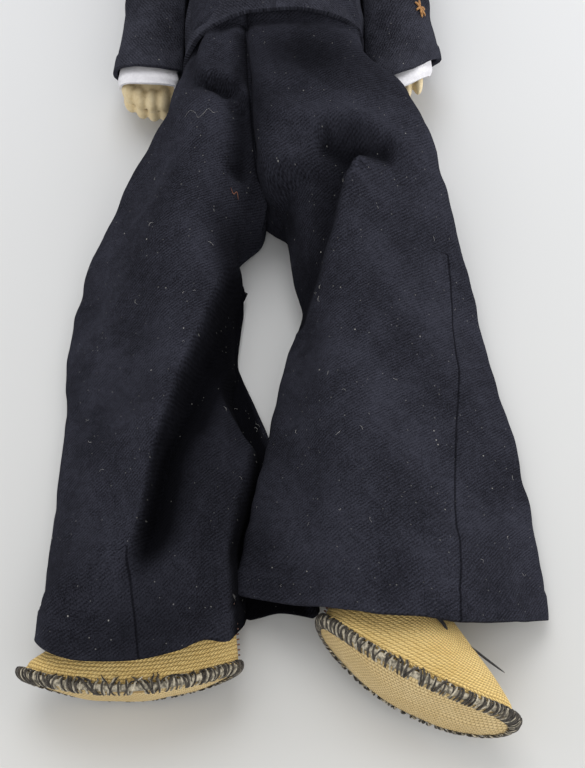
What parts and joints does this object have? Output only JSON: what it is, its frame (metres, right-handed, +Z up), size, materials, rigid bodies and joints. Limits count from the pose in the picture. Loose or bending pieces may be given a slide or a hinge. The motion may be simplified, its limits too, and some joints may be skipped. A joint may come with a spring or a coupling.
{
  "type": "cloth doll",
  "caption": "Stuffed cloth doll lying on its back, in a navy jumper, flared bell-bottom trousers and yellow canvas shoes, with hinged limbs and a turning head.",
  "frame": {"origin": "on the back of the jumper, on the doll's centre plane, where it lies on the table", "axes": "+Y from the feet to the head, +X to the doll's left side, +Z up from the table through the chest"},
  "size_m": [0.1297, 0.3719, 0.0476],
  "materials": {
    "navy_wool": "matt twill wool, slightly fuzzy",
    "white_linen": "plain white cotton",
    "body_cloth": "cream cotton, stuffed tight",
    "yellow_canvas": "golden-yellow canvas weave",
    "pale_canvas": "paler canvas weave",
    "dark_thread": "thick dark thread, whip stitched",
    "hair_wool": "short brown wool"
  },
  "bodies": {
    "trunk": {"torso_stuffing": "body_cloth", "neck": "body_cloth", "shirt_front": "white_linen", "jumper_body": "navy_wool", "jumper_collar": "navy_wool", "trouser_seat": "navy_wool"},
    "head_and_hair": {"head": "body_cloth", "ear_right": "body_cloth", "ear_left": "body_cloth", "hair": "hair_wool"},
    "right_arm": {"arm_right": "body_cloth", "hand_right": "body_cloth", "sleeve_right": "navy_wool", "cuff_right": "white_linen"},
    "left_arm": {"arm_left": "body_cloth", "hand_left": "body_cloth", "sleeve_left": "navy_wool", "cuff_left": "white_linen"},
    "right_leg": {"leg_right": "body_cloth", "foot_right": "body_cloth", "trouser_leg_right": "navy_wool", "shoe_upper_right": "yellow_canvas", "shoe_sole_right": "pale_canvas", "shoe_binding_right": "dark_thread"},
    "left_leg": {"leg_left": "body_cloth", "foot_left": "body_cloth", "trouser_leg_left": "navy_wool", "shoe_upper_left": "yellow_canvas", "shoe_sole_left": "pale_canvas", "shoe_binding_left": "dark_thread"}
  },
  "joints": [
    {"name": "neck_turn", "type": "hinge", "parent": "trunk", "child": "head_and_hair", "pos_m": [0, 0.088, 0.021], "axis": [0, 1, 0], "range_deg": [-25, 25]},
    {"name": "shoulder_right", "type": "hinge", "parent": "trunk", "child": "right_arm", "pos_m": [-0.027, 0.064, 0.021], "axis": [-1, 0, 0], "range_deg": [0, 170]},
    {"name": "shoulder_left", "type": "hinge", "parent": "trunk", "child": "left_arm", "pos_m": [0.027, 0.064, 0.021], "axis": [-1, 0, 0], "range_deg": [0, 170]},
    {"name": "hip_right", "type": "hinge", "parent": "trunk", "child": "right_leg", "pos_m": [-0.0156, -0.06, 0.021], "axis": [-1, 0, 0], "range_deg": [0, 80]},
    {"name": "hip_left", "type": "hinge", "parent": "trunk", "child": "left_leg", "pos_m": [0.017, -0.06, 0.021], "axis": [-1, 0, 0], "range_deg": [0, 80]}
  ]
}
